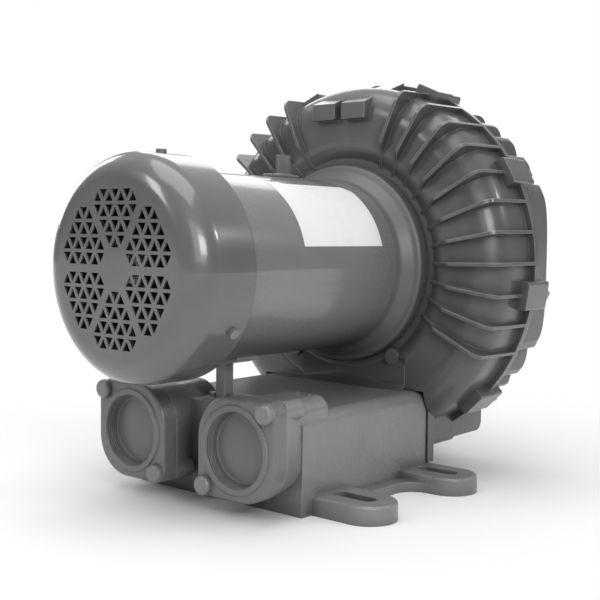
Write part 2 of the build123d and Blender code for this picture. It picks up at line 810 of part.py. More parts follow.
def blower_cover():
    back = rim_plane + cover_depth
    bay_back = rim_plane + cover_bay_depth
    web_back = rim_plane + cover_web_offset
    dish = turned(
        (0, rim_plane), (rim_radius - 2, rim_plane), (rim_radius - 2, rim_plane + rim_thickness),
        (cover_bay_radius, rim_plane + rim_thickness, 2), (cover_bay_radius, bay_back, cover_bay_round),
        (cover_bay_inner_radius, bay_back, 20), (hub_radius, web_back, 6), (0, web_back))
    envelope = turned(
        (0, rim_plane), (cover_fin_radius, rim_plane), (cover_fin_radius, back, cover_fin_round), (0, back))
    half = cover_fin_thickness / 2
    reach = cover_fin_radius + 5
    first = -(cover_fin_count - 1) / 2
    plates = []
    for count in range(cover_fin_count):
        x = (first + count) * cover_fin_pitch
        plates.append(block((x - half, x + half), (rim_plane, back), (axis_height - reach, axis_height + reach)))
    fins = envelope & (Part() + plates)
    lobe = slab(body_half_width, (rim_plane, rim_plane + cover_lobe_depth),
                 (cover_lobe_bottom, base_top))
    lobe = fillet(lobe.edges().filter_by(Axis.X).group_by(Axis.Y)[-1].group_by(Axis.Z)[0], cover_lobe_round)
    cover = dish + fins + lobe
    seat = rim_plane + cover_boss_length
    boss = rim_boss(cover_bay_radius - 2, boss_outer_radius - cover_boss_drop, rim_plane, seat)
    cover += [spun(boss, angle) for angle in rim_bolt_angles()]
    cover -= rim_rods(washer_radius + bolt_clearance, seat, back)
    inner = cover_bay_radius - casing_wall
    cavity = turned(
        (0, rim_plane), (inner, rim_plane), (inner, bay_back - casing_wall, cover_bay_round - casing_wall),
        (impeller_bowl_radius - 3, bay_back - casing_wall, 13), (impeller_bowl_radius - 3, rim_plane + 2),
        (land_radius, rim_plane + 2), (land_radius, web_back - casing_wall), (0, web_back - casing_wall))
    stripper = slab(stripper_half_width, (rim_plane, back), (0, axis_height - land_radius))
    cover -= cavity - stripper
    return cover - rim_rods(m8_radius + bolt_clearance, rim_plane, seat)


def cover_bolts():
    head_start = rim_plane + cover_boss_length + washer_thickness
    bolts = []
    for angle in rim_bolt_angles():
        x, z = on_circle(rim_bolt_circle, angle)
        shank = rod(m8_radius, rim_plane - rim_bolt_engagement, head_start, x, z)
        bolts.append(shank + hexagon(m8_head_radius, head_start, m8_head_height, x, z))
    return group(bolts)


def cover_washers():
    start = rim_plane + cover_boss_length
    end = start + washer_thickness
    holes = rim_rods(m8_radius + bolt_clearance, start, end)
    return group([disc - hole for disc, hole in zip(rim_rods(washer_radius, start, end), holes)])


# Impeller

def impeller():
    bore = impeller_seat_radius + slip_fit
    web = impeller_web / 2
    thin = divider_thickness / 2
    hub_end = seat_end + 2
    mid = impeller_middle
    wheel = turned(
        (bore, seat_start), (impeller_hub_radius, seat_start, 2), (impeller_hub_radius, mid - web, 6),
        (impeller_rim_inner, mid - web, 6), (impeller_rim_inner, impeller_front),
        (impeller_bowl_radius, impeller_front), (impeller_bowl_radius + 6, mid - thin, 14),
        (impeller_radius, mid - thin), (impeller_radius, mid + thin),
        (impeller_bowl_radius + 6, mid + thin, 14),
        (impeller_bowl_radius, impeller_back), (impeller_rim_inner, impeller_back),
        (impeller_rim_inner, mid + web, 6), (impeller_hub_radius, mid + web, 6),
        (impeller_hub_radius, hub_end, 2), (bore, hub_end))
    half = vane_thickness / 2
    vane = block((impeller_bowl_radius - 2, impeller_radius), (impeller_front, impeller_back),
                 (axis_height - half, axis_height + half))
    wheel += [spun(vane, 360 / vane_count * turn) for turn in range(vane_count)]
    return wheel - key_block(slip_fit)


def impeller_washer():
    start = seat_end + 2
    end = start + impeller_washer_thickness
    return ring(m10_radius + bolt_clearance, impeller_washer_radius, start, end)


def impeller_bolt():
    start = seat_end + 2 + impeller_washer_thickness
    shank = rod(m10_radius, start - impeller_bolt_length, start)
    return shank + hexagon(m10_head_radius, start, m10_head_height, 0, axis_height)


# Silencer base

# Square port outline, with small corners where the bolts are; side is 1 right, -1 left
def port_face(side, station, half_width, half_height, large):
    corners = outline(
        (-side * half_width, -half_height, port_small_corner), (side * half_width, -half_height, large),
        (side * half_width, half_height, port_small_corner), (-side * half_width, half_height, large))
    return Plane((side * port_x, station, port_height), x_dir=(1, 0, 0), z_dir=(0, -1, 0)) * corners


def port_outline(side, start, end):
    return extrude(port_face(side, start, port_half_width, port_half_width, port_large_corner), start - end)


# Neck from the flange outline down to its section at the box, and on over the box top
def port_neck(side):
    mouth = port_face(side, neck_front, port_half_width, port_half_width, port_large_corner)
    root = port_face(side, base_front, neck_half_width, neck_half_height, neck_large_corner)
    neck = loft([mouth, root]) + extrude(root, -neck_shoulder)
    lobe_end = neck_front + neck_lobe_length
    return neck + [rod(neck_lobe_radius, neck_front, lobe_end, x, z) for x, z in flange_bolt_places(side)]


def foot_slot(x, y):
    straight = slot_length - slot_width
    return Pos(x, y) * SlotCenterToCenter(straight, slot_width)


def floor_plate():
    slot_half = (slot_length - slot_width) / 2
    tongue_end = foot_spacing_x / 2 + slot_half
    half_y = foot_spacing_y / 2
    skirt = base_half_width + skirt_width
    plate = Rectangle(2 * skirt, foot_spacing_y + foot_half_width)
    plate += [Pos(0, y) * SlotCenterToCenter(2 * tongue_end, 2 * foot_half_width)
              for y in (-half_y, half_y)]
    inner_corners = [corner for corner in plate.vertices()
                     if abs(abs(corner.X) - skirt) < 0.01
                     and abs(abs(corner.Y) - half_y + foot_half_width) < 0.01]
    plate = fillet(inner_corners, skirt_corner_radius)
    solid = extrude(plate, foot_thickness)
    solid = fillet(solid.edges().group_by(Axis.Z)[-1], foot_edge_radius)
    slots = [foot_slot(x, y) for x in (-foot_spacing_x / 2, foot_spacing_x / 2) for y in (-half_y, half_y)]
    solid -= [extrude(slot, foot_thickness) for slot in slots]
    gap = half_y - foot_half_width
    beyond = skirt + skirt_corner_radius
    step = block((base_half_width, beyond), (-gap, gap), (skirt_thickness, foot_thickness))
    return solid - both_sides(step)


def chamber(gap):
    return block(
        (chamber_divider + gap, base_half_width - base_wall - gap),
        (base_front + base_wall + gap, base_back - base_wall - gap),
        (base_floor + gap, base_top - base_floor - gap))


def manifold():
    box = slab(base_half_width, (base_front, base_back), (0, base_top))
    box = fillet(box.edges().filter_by(Axis.Y).group_by(Axis.Z)[-1], base_edge_radius)
    casting = box + floor_plate()
    casting += [port_neck(side) for side in (1, -1)]
    for side in (1, -1):
        x = side * port_x
        casting -= rod(neck_bore, neck_front, base_front + base_wall, x, port_height)
        casting -= chamber(0) if side > 0 else mirror(chamber(0), about=middle)
        casting -= rod(duct_radius, base_back - base_wall, base_back, side * duct_x, duct_height)
        for across, up in flange_bolt_places(side):
            thread_end = neck_front + flange_thread_depth
            casting -= rod(m10_radius + thread_clearance, neck_front, thread_end, across, up)
    for x in (-support_screw_x, support_screw_x):
        casting -= post(m6_radius + thread_clearance, base_top - base_floor + 1, base_top, x, support_y)
    return casting - manifold_rods(m8_radius + thread_clearance, base_back - base_wall, base_back)


def manifold_gasket():
    half = base_half_width - 1
    sheet = slab(half, (base_back, housing_front), (foot_thickness, base_top - 6))
    for side in (1, -1):
        sheet -= rod(duct_radius, base_back, housing_front, side * duct_x, duct_height)
    return sheet - manifold_rods(m8_radius + bolt_clearance, base_back, housing_front)


def silencer_foam(side):
    foam = chamber(foam_clearance)
    core = block(
        (chamber_divider + foam_thickness, base_half_width - base_wall - foam_thickness),
        (base_front, base_back), (base_floor + foam_thickness, base_top - base_floor - foam_thickness))
    foam -= core
    foam -= rod(neck_bore, base_front, base_front + base_wall + foam_thickness, port_x, port_height)
    foam -= rod(duct_radius, base_back - base_wall - foam_thickness, base_back, duct_x, duct_height)
    return foam if side > 0 else mirror(foam, about=middle)


# Ports

def flange_bolt_places(side):
    offset = flange_bolt_offset
    return [(side * (port_x + offset), port_height + offset),
            (side * (port_x - offset), port_height - offset)]


def port_flange(side):
    x = side * port_x
    plate = port_outline(side, flange_front, flange_back)
    plate = fillet(plate.edges().group_by(Axis.Y)[0], flange_edge_radius)
    plate += rod(pipe_thread_radius + bead_width, flange_front - bead_height, flange_front, x, port_height)
    plate -= rod(pipe_thread_radius, flange_front - bead_height, plug_face, x, port_height)
    plate -= rod(plug_radius, flange_front, flange_back, x, port_height)
    return plate - [rod(m10_radius + bolt_clearance, flange_front, flange_back, across, up)
                    for across, up in flange_bolt_places(side)]


def port_gasket(side):
    sheet = port_outline(side, flange_back, neck_front)
    sheet -= rod(neck_bore, flange_back, neck_front, side * port_x, port_height)
    return sheet - [rod(m10_radius + bolt_clearance, flange_back, neck_front, across, up)
                    for across, up in flange_bolt_places(side)]


# A dished disc closing the bore behind the thread
def port_plug(side):
    radius = plug_radius - running_clearance
    x = side * port_x
    cup = rod(radius, plug_face, plug_face + plug_depth, x, port_height)
    cup -= rod(radius - plug_wall, plug_face, plug_face + plug_depth - plug_wall, x, port_height)
    return cup


def flange_bolts():
    bolts = []
    for side in (1, -1):
        for x, z in flange_bolt_places(side):
            shank = rod(m10_radius, flange_front, flange_front + flange_bolt_length, x, z)
            head_start = flange_front - m10_head_height
            head = rod(m10_head_radius, head_start, flange_front, x, z)
            bolts.append(shank + fillet(head.edges().group_by(Axis.Y)[0], m10_head_height / 2))
    return group(bolts)


pieces = {
    "fan_cover": fan_cover(),
    "fan_cover_screws": fan_cover_screws(),
    "fan_end_bell": fan_end_bell(),
    "motor_frame": motor_frame(),
    "drive_end_bell": drive_end_bell(),
    "motor_through_bolts": motor_through_bolts(),
    "motor_mounting_bolts": motor_mounting_bolts(),
    "stator_core": stator_core(),
    "stator_windings": stator_windings(),
    "fan_end_bearing": bearing_outer(
        fan_bearing_bore, fan_bearing_outer, fan_bearing_start, fan_bearing_width),
    "drive_end_bearing": bearing_outer(
        drive_bearing_bore, drive_bearing_outer, drive_bearing_start, drive_bearing_width),
    "fan_bearing_inner": bearing_inner(fan_bearing_bore, fan_bearing_start, fan_bearing_width),
    "drive_bearing_inner": bearing_inner(drive_bearing_bore, drive_bearing_start, drive_bearing_width),
    "shaft": shaft(),
    "rotor_core": rotor_core(),
    "cooling_fan": cooling_fan(),
    "fan_clip": fan_clip(),
    "motor_lifting_lug": motor_lifting_lug(),
    "motor_support": motor_support(),
    "support_screws": support_screws(),
    "conduit_box": conduit_box(),
    "conduit_gasket": conduit_gasket(),
    "conduit_lid": conduit_plate(-conduit_outer_x - gasket_thickness, conduit_lid),
    "conduit_screws": conduit_screws(),
    "blower_housing": blower_housing(),
    "blower_cover": blower_cover(),
    "cover_bolts": cover_bolts(),
    "cover_washers": cover_washers(),
    "shaft_seal": shaft_seal(),
    "impeller": impeller(),
    "impeller_key": key_block(0),
    "impeller_washer": impeller_washer(),
    "impeller_bolt": impeller_bolt(),
    "manifold": manifold(),
    "manifold_gasket": manifold_gasket(),
    "manifold_bolts": manifold_bolts(),
    "flange_bolts": flange_bolts(),
}
for name, side in (("inlet", 1), ("outlet", -1)):
    pieces[name + "_flange"] = port_flange(side)
    pieces[name + "_flange_gasket"] = port_gasket(side)
    pieces[name + "_plug"] = port_plug(side)
    pieces[name + "_silencer_foam"] = silencer_foam(side)

os.makedirs("parts", exist_ok=True)
for node, shape in pieces.items():
    export_step(shape, f"parts/{node}.step")
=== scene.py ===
import math

import bpy
from mathutils import Matrix, Vector


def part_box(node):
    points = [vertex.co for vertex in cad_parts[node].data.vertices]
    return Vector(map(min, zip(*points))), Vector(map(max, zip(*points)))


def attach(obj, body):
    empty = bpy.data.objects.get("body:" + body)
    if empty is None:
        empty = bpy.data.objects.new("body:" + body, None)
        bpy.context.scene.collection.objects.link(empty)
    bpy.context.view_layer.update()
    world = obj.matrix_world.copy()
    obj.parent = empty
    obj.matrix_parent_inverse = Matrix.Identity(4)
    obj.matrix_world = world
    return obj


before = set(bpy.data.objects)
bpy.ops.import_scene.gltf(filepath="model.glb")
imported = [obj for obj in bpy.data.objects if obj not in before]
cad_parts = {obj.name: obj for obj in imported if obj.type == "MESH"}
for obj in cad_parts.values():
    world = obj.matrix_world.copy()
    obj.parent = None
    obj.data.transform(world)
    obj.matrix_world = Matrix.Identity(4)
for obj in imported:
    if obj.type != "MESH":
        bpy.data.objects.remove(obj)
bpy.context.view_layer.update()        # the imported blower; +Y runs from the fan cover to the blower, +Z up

millimetre = 0.001


def deselectAll():
    for shown in bpy.context.selected_objects:
        shown.select_set(False)


deselectAll()
shellLow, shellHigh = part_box("motor_frame")
axisHeight = (shellLow.z + shellHigh.z) / 2
shellRadius = (shellHigh.x - shellLow.x) / 2
print("frame loaded")

cameraSetup = {
    "place": (0.7063, -0.8394, 0.2662),
    "yawDegrees": 39.68,       # the camera's heading, turned from +Y toward -X
    "pitchDegrees": 3.84,      # looking down
    "rollDegrees": 0.73,
    "lens": 61.77,
    "sensor": 36.0,
}


def setCamera(setup):
    yaw, pitch, roll = (math.radians(setup[k + "Degrees"]) for k in ("yaw", "pitch", "roll"))
    ahead = Vector((-math.sin(yaw) * math.cos(pitch), math.cos(yaw) * math.cos(pitch), -math.sin(pitch)))
    level = Vector((math.cos(yaw), math.sin(yaw), 0.0))
    above = level.cross(ahead)
    right = level * math.cos(roll) + above * math.sin(roll)
    up = above * math.cos(roll) - level * math.sin(roll)
    bpy.ops.object.camera_add(location=setup["place"])
    camera = bpy.context.object
    camera.name = "camera"
    camera.data.lens = setup["lens"]
    camera.data.sensor_width = setup["sensor"]
    turned = Matrix((right, up, -ahead)).transposed().to_4x4()
    camera.matrix_world = Matrix.Translation(setup["place"]) @ turned
    bpy.context.scene.camera = camera


setCamera(cameraSetup)


class Wire:
    # One output of a shader node, with the operators that are used here.
    def __init__(self, finish, socket):
        self.finish = finish
        self.socket = socket

    def sum(self, operation, *values):
        return self.finish.node("Math", {"operation": operation}, dict(enumerate(values)))["Value"]

    def __add__(self, other):
        return self.sum("ADD", self, other)

    def __sub__(self, other):
        return self.sum("SUBTRACT", self, other)

    def __rsub__(self, other):
        return self.sum("SUBTRACT", other, self)

    def __mul__(self, other):
        return self.sum("MULTIPLY", self, other)

    def __pow__(self, other):
        return self.sum("POWER", self, other)

    __radd__ = __add__
    __rmul__ = __mul__

    def most(self, other):
        return self.sum("MAXIMUM", self, other)

    def turnFrom(self, other):
        return self.sum("ARCTAN2", self, other)

    def between(self, low, high):
        # 0 at low, 1 at high, smooth and clamped; low may be the larger
        made = self.finish.node("MapRange", {"interpolation_type": "SMOOTHSTEP"},
                                {"Value": self, "From Min": low, "From Max": high})
        return made["Result"]


class Finish:
    # The nodes of one material, or of the world.
    def __init__(self, owner):
        self.owner = owner
        owner.use_nodes = True
        self.tree = owner.node_tree
        self.tree.nodes.clear()

    def node(self, kind, settings=None, inputs=None):
        made = self.tree.nodes.new("ShaderNode" + kind)
        for key, value in (settings or {}).items():
            setattr(made, key, value)
        for key, value in (inputs or {}).items():
            socket = self.find(made.inputs, key)
            if isinstance(value, Wire):
                self.tree.links.new(value.socket, socket)
            else:
                socket.default_value = value
        shown = {socket.name: Wire(self, socket) for socket in made.outputs if socket.enabled}
        return {socket.identifier: Wire(self, socket) for socket in made.outputs} | shown

    def find(self, sockets, key):
        if isinstance(key, int):
            return sockets[key]
        for socket in sockets:
            if socket.identifier == key:
                return socket
        return sockets[key]

    def places(self):
        return self.node("TexCoord")["Object"]

    def aboutAxis(self):
        # places measured from the motor axis
        return self.node("Mapping", {}, {"Vector": self.places(), "Location": (0, 0, -axisHeight)})["Vector"]

    def noise(self, places, scale, detail=2.0, roughness=0.5):
        return self.node("TexNoise", {}, {"Vector": places, "Scale": scale, "Detail": detail,
                                          "Roughness": roughness})["Fac"]

    def cells(self, places, scale):
        return self.node("TexVoronoi", {}, {"Vector": places, "Scale": scale})["Distance"]

    def joinXYZ(self, **ways):
        return self.node("CombineXYZ", {}, ways)["Vector"]

    def split(self, places):
        made = self.node("SeparateXYZ", {}, {"Vector": places})
        return made["X"], made["Y"], made["Z"]

    def blendColour(self, factor, low, high):
        low, high = (v if isinstance(v, Wire) else (*v, 1.0) for v in (low, high))
        made = self.node("Mix", {"data_type": "RGBA", "clamp_factor": True},
                         {"Factor_Float": factor, "A_Color": low, "B_Color": high})
        return made["Result_Color"]

    def edges(self, radius, samples=6):
        # the rounded normal, and how far it leans from the true one: 1 on a sharp edge
        rounded = self.node("Bevel", {"samples": samples}, {"Radius": radius})["Normal"]
        flat = self.node("NewGeometry")["True Normal"]
        agree = self.node("VectorMath", {"operation": "DOT_PRODUCT"}, {0: rounded, 1: flat})["Value"]
        return rounded, 1 - agree

    def hollows(self, reach, samples=6):
        # 0 in a deep corner, 1 in the open
        return self.node("AmbientOcclusion", {"samples": samples}, {"Distance": reach})["AO"]

    def relief(self, height, depth, under=None):
        inputs = {"Height": height, "Distance": depth, "Strength": 1.0}
        if under is not None:
            inputs["Normal"] = under
        return self.node("Bump", {}, inputs)["Normal"]

    def surface(self, **inputs):
        named = {key.replace("_", " "): value for key, value in inputs.items()}
        made = self.node("BsdfPrincipled", {}, named)
        self.node("OutputMaterial", {}, {"Surface": made["BSDF"]})
        return self.owner


def newFinish(name):
    return Finish(bpy.data.materials.new(name))


def enamelled(name, look):
    # Sprayed enamel over metal: a rounded coat, thinner and lighter on the edges as wear and as painted
    # highlight, a grain under it, and painted shade darkening the corners, which are also duller.
    f = newFinish(name)
    where = f.places()
    rounded, edge = f.edges(look["edgeRadius"])
    open_ = f.hollows(look["cornerReach"])
    patches = f.noise(where, look["patchScale"], 3.0)
    specks = f.noise(where, look["speckScale"], 2.0, 0.6)
    coat = f.blendColour(patches.between(*look["patchBand"]), look["colour"], look["patchColour"])
    # lighter paint on the edges: partly wear, partly a painted highlight like the shine on rounded edges
    edgeWearAndHighlight = (edge * look["edgeGain"] + (specks - 0.5) * look["edgeSpeckle"]).between(*look["edgeBand"])
    coat = f.blendColour(edgeWearAndHighlight * look["edgeShare"], coat, look["edgeColour"])
    # painted shade: the coat turns darker in corners and hollows, where the ambient occlusion is low
    paintedCornerShade = open_.between(look["cornerStart"], look["cornerEnd"])
    coat = f.blendColour(paintedCornerShade * look["paintedShadeShare"], coat, look["paintedShadeColour"])
    grain = f.noise(where, look["grainScale"], 4.0, 0.62)
    pits = f.cells(where, look["pitScale"]).between(*look["pitBand"])
    height = grain * look["grainDepth"] + pits * look["pitDepth"] + patches * look["waveDepth"]
    dulled = (1 - open_) * look["cornerDulling"]
    shine = look["roughness"] + (specks - 0.5) * look["roughnessSpread"] + dulled
    return f.surface(Base_Color=coat, Roughness=shine, Metallic=0.0, Specular_IOR_Level=look["gloss"],
                     Coat_Weight=look["lacquer"], Coat_Roughness=look["lacquerRoughness"],
                     Normal=f.relief(height, millimetre, rounded))


castingLook = {
    "colour": (0.165, 0.166, 0.169),
    "patchColour": (0.188, 0.189, 0.192),
    "patchScale": 14.0,
    "patchBand": (0.35, 0.65),   # noise levels between which one colour turns into the other
    "speckScale": 420.0,
    "edgeRadius": 0.0018,
    "edgeGain": 2.4,
    "edgeSpeckle": 0.8,
    "edgeBand": (0.25, 0.75),
    "edgeShare": 0.6,
    # the lighter edge paint: partly wear, partly painted highlight
    "edgeColour": (0.40, 0.402, 0.41),
    "cornerReach": 0.03,
    "cornerStart": 0.85,         # openness at which the painted shade starts to show, and where it is full
    "cornerEnd": 0.15,
    "paintedShadeShare": 0.8,
    "paintedShadeColour": (0.030, 0.029, 0.029),
    "cornerDulling": 0.18,
    "grainScale": 460.0,
    "grainDepth": 0.40,          # millimetres, as are the other two depths
    "pitScale": 190.0,
    "pitBand": (0.55, 0.15),
    "pitDepth": 0.22,
    "waveDepth": 0.9,
    "roughness": 0.34,
    "roughnessSpread": 0.22,
    "gloss": 0.5,
    "lacquer": 0.35,
    "lacquerRoughness": 0.16,
}
# the casting enamel made darker for the finned housing and cover, as painted shade, with stronger painted
# corner shade and more of the lighter edge paint
finShadedLook = castingLook | {
    "colour": (0.084, 0.085, 0.088),
    "patchColour": (0.104, 0.105, 0.108),
    "edgeShare": 0.85,
    "grainDepth": 0.16,
    "pitDepth": 0.04,
    "cornerReach": 0.07,
    "cornerStart": 1.0,
    "paintedShadeShare": 0.85,
    "lacquer": 0.45,
}
motorLook = castingLook | {
    "colour": (0.145, 0.146, 0.149),
    "patchColour": (0.153, 0.154, 0.157),
    # a wider reach for the painted corner shade and dulling, so the shell darkens near the housing
    "cornerReach": 0.09,
    "grainScale": 900.0,
    "grainDepth": 0.03,
    "pitDepth": 0.0,
    "waveDepth": 0.12,
    "edgeShare": 0.35,
    "roughness": 0.24,
    "roughnessSpread": 0.06,
    "lacquer": 0.7,
    "lacquerRoughness": 0.09,
}
coverLook = motorLook | {
    "colour": (0.098, 0.099, 0.102),
    "patchColour": (0.108, 0.109, 0.112),
    "cornerReach": 0.03,
    "edgeRadius": 0.0012,
    "roughness": 0.26,
}
ironLook = castingLook | {
    "colour": (0.122, 0.123, 0.126),
    "patchColour": (0.138, 0.139, 0.142),
    "paintedShadeShare": 0.4,
    "grainDepth": 0.16,
    "roughness": 0.40,
}
bellLook = motorLook | {
    "colour": (0.098, 0.099, 0.102),
    "patchColour": (0.110, 0.111, 0.114),
    "grainDepth": 0.06,
    "roughness": 0.42,
    "lacquer": 0.12,
    "lacquerRoughness": 0.3,
}
boltLook = castingLook | {
    "edgeRadius": 0.0008,
    "grainDepth": 0.05,
    "pitDepth": 0.0,
    "waveDepth": 0.0,
    "edgeGain": 2.8,
    "roughness": 0.36,
}
plugLook = coverLook | {
    "colour": (0.118, 0.119, 0.122),
    "patchColour": (0.126, 0.127, 0.130),
    "edgeRadius": 0.0015,
    "paintedShadeShare": 0.3,
    "roughness": 0.40,
    "lacquer": 0.3,
}

turnedLook = {
    "colour": (0.60, 0.60, 0.61),
    "smearShade": 0.86,        # of the colour
    "smearScale": 60.0,
    "edgeShade": 1.25,
    "edgeRadius": 0.0006,
    "edgeShare": 0.4,
    "rings": 2600.0,
    "ringDepth": 0.00002,
    "roughness": 0.26,
    "ringSpread": 0.16,
    "smearSpread": 0.06,
}


def turnedMetal(name, look):
    # Bright metal off a lathe: fine rings about the motor axis.
    f = newFinish(name)
    where = f.aboutAxis()
    x, y, z = f.split(where)
    radius = (x * x + z * z) ** 0.5
    rounded, edge = f.edges(look["edgeRadius"])
    ring = f.noise(f.joinXYZ(X=radius, Y=y), look["rings"])
    smear = f.noise(where, look["smearScale"], 3.0)
    smeared = tuple(part * look["smearShade"] for part in look["colour"])
    rubbed = tuple(part * look["edgeShade"] for part in look["colour"])
    shade = f.blendColour(smear, look["colour"], smeared)
    shade = f.blendColour(edge.between(0.1, 0.5) * look["edgeShare"], shade, rubbed)
    shine = look["roughness"] + (ring - 0.5) * look["ringSpread"] + smear * look["smearSpread"]
    return f.surface(Base_Color=shade, Metallic=1.0, Roughness=shine,
                     Normal=f.relief(ring, look["ringDepth"], rounded))


aluminiumLook = {
    "colour": (0.60, 0.60, 0.61),
    "stainColour": (0.50, 0.50, 0.51),
    "stainScale": 35.0,
    "edgeColour": (0.78, 0.78, 0.79),
    "edgeRadius": 0.001,
    "edgeShare": 0.5,
    "grainScale": 700.0,
    "grainDepth": 0.00012,
    "roughness": 0.46,
    "roughnessSpread": 0.2,
}


def castAluminium(name, look):
    f = newFinish(name)
    where = f.places()
    rounded, edge = f.edges(look["edgeRadius"])
    grain = f.noise(where, look["grainScale"], 3.0)
    stain = f.noise(where, look["stainScale"], 4.0)
    shade = f.blendColour(stain.between(0.3, 0.7), look["colour"], look["stainColour"])
    shade = f.blendColour(edge.between(0.1, 0.5) * look["edgeShare"], shade, look["edgeColour"])
    return f.surface(Base_Color=shade, Metallic=1.0,
                     Roughness=look["roughness"] + (grain - 0.5) * look["roughnessSpread"],
                     Normal=f.relief(grain, look["grainDepth"], rounded))


copperLook = {
    "colour": (0.30, 0.11, 0.05),
    "strandColour": (0.52, 0.22, 0.10),
    "turnScale": 26.0,         # strands to a radian, a metre and a square metre
    "lengthScale": 900.0,
    "layerScale": 3000.0,
    "strandDepth": 0.0006,
    "metallic": 0.6,
    "roughness": 0.38,
    "roughnessSpread": 0.2,
}


def copperWire(name, look):
    f = newFinish(name)
    x, y, z = f.split(f.aboutAxis())
    wound = f.joinXYZ(X=x.turnFrom(z) * look["turnScale"], Y=y * look["lengthScale"],
                      Z=(x * x + z * z) * look["layerScale"])
    strands = f.noise(wound, 1.0, 1.0)
    shade = f.blendColour(strands.between(0.3, 0.7), look["colour"], look["strandColour"])
    return f.surface(Base_Color=shade, Metallic=look["metallic"],
                     Roughness=look["roughness"] + (strands - 0.5) * look["roughnessSpread"],
                     Normal=f.relief(strands, look["strandDepth"]))


coreLook = {
    "colour": (0.10, 0.10, 0.11),
    "sheetColour": (0.22, 0.22, 0.23),
    "sheetScale": 1600.0,
    "sheetDepth": 0.0002,
    "blotScale": 45.0,
    "metallic": 0.9,
    "roughness": 0.5,
    "roughnessSpread": 0.3,
}


def laminations(name, look):
    f = newFinish(name)
    x, y, z = f.split(f.places())
    sheets = f.noise(f.joinXYZ(Y=y * look["sheetScale"]), 1.0, 1.0)
    blots = f.noise(f.places(), look["blotScale"], 3.0)
    shade = f.blendColour(sheets.between(0.3, 0.7), look["colour"], look["sheetColour"])
    return f.surface(Base_Color=shade, Metallic=look["metallic"],
                     Roughness=look["roughness"] + (blots - 0.5) * look["roughnessSpread"],
                     Normal=f.relief(sheets, look["sheetDepth"]))


fanLook = {
    "colour": (0.018, 0.018, 0.019),
    "dustColour": (0.048, 0.048, 0.049),
    "dustReach": 0.02,
    "dustShare": 0.5,
    "edgeRadius": 0.0008,
    "grainScale": 900.0,
    "grainDepth": 0.00006,
    "roughness": 0.55,
    "roughnessSpread": 0.2,
}


def mattPlastic(name, look):
    f = newFinish(name)
    rounded, edge = f.edges(look["edgeRadius"])
    grain = f.noise(f.places(), look["grainScale"])
    dust = f.hollows(look["dustReach"]).between(0.2, 0.9)
    shade = f.blendColour(dust * look["dustShare"], look["dustColour"], look["colour"])
    return f.surface(Base_Color=shade, Roughness=look["roughness"] + (grain - 0.5) * look["roughnessSpread"],
                     Normal=f.relief(grain, look["grainDepth"], rounded))


gasketLook = {
    "colour": (0.022, 0.021, 0.020),
    "fibreColour": (0.055, 0.053, 0.051),
    "fibreScale": 1400.0,
    "fibreDepth": 0.00012,
    "roughness": 0.72,
    "roughnessSpread": 0.2,
}


def gasketRubber(name, look):
    f = newFinish(name)
    fibre = f.noise(f.places(), look["fibreScale"], 3.0, 0.7)
    shade = f.blendColour(fibre.between(0.3, 0.7), look["colour"], look["fibreColour"])
    return f.surface(Base_Color=shade, Roughness=look["roughness"] + (fibre - 0.5) * look["roughnessSpread"],
                     Normal=f.relief(fibre, look["fibreDepth"]))


foamLook = {
    "colour": (0.015, 0.015, 0.015),
    "wallColour": (0.11, 0.11, 0.11),
    "poreScale": 620.0,
    "poreDepth": 0.0009,
    "roughness": 0.9,
    "sheen": 0.2,
}


def openFoam(name, look):
    f = newFinish(name)
    pores = f.cells(f.places(), look["poreScale"])
    shade = f.blendColour(pores.between(0.1, 0.6), look["colour"], look["wallColour"])
    return f.surface(Base_Color=shade, Roughness=look["roughness"], Sheen_Weight=look["sheen"],
                     Normal=f.relief(pores, look["poreDepth"]))


labelLook = {
    "colour": (0.68, 0.68, 0.675),
    "grimeColour": (0.57, 0.57, 0.565),
    "grimeScale": 38.0,
    "grimeBand": (0.45, 0.75),
    "grimeShare": 0.35,
    "edgeColour": (0.42, 0.42, 0.42),
    "edgeRadius": 0.0004,
    "edgeShare": 0.5,
    "fibreScale": 1500.0,
    "fibreDepth": 0.00002,
    "roughness": 0.36,
    "roughnessSpread": 0.14,
}


def labelStock(name, look):
    # White self-adhesive foil with a satin print coat, grubby in patches and greyer on its edges.
    f = newFinish(name)
    where = f.places()
    rounded, edge = f.edges(look["edgeRadius"])
    grime = f.noise(where, look["grimeScale"], 4.0, 0.6)
    fibre = f.noise(where, look["fibreScale"])
    grimy = grime.between(*look["grimeBand"]) * look["grimeShare"]
    shade = f.blendColour(grimy, look["colour"], look["grimeColour"])
    shade = f.blendColour(edge.between(0.05, 0.4) * look["edgeShare"], shade, look["edgeColour"])
    return f.surface(Base_Color=shade, Roughness=look["roughness"] + (grime - 0.5) * look["roughnessSpread"],
                     Normal=f.relief(fibre, look["fibreDepth"], rounded))


finishes = {
    "castings": enamelled("sprayed casting", castingLook),
    "fins": enamelled("sprayed finned casting", finShadedLook),
    "motor": enamelled("motor enamel", motorLook),
    "bell": enamelled("end bell enamel", bellLook),
    "cover": enamelled("fan cover enamel", coverLook),
    "iron": enamelled("flange enamel", ironLook),
    "bolts": enamelled("enamelled bolts", boltLook),
    "plugs": enamelled("port plug", plugLook),
    "label": labelStock("label foil", labelLook),
    "bright": turnedMetal("turned steel", turnedLook),
    "core": laminations("core laminations", coreLook),
    "copper": copperWire("varnished windings", copperLook),
    "aluminium": castAluminium("cast aluminium", aluminiumLook),
    "fan": mattPlastic("fan moulding", fanLook),
    "rubber": gasketRubber("gasket sheet", gasketLook),
    "foam": openFoam("silencing foam", foamLook),
}

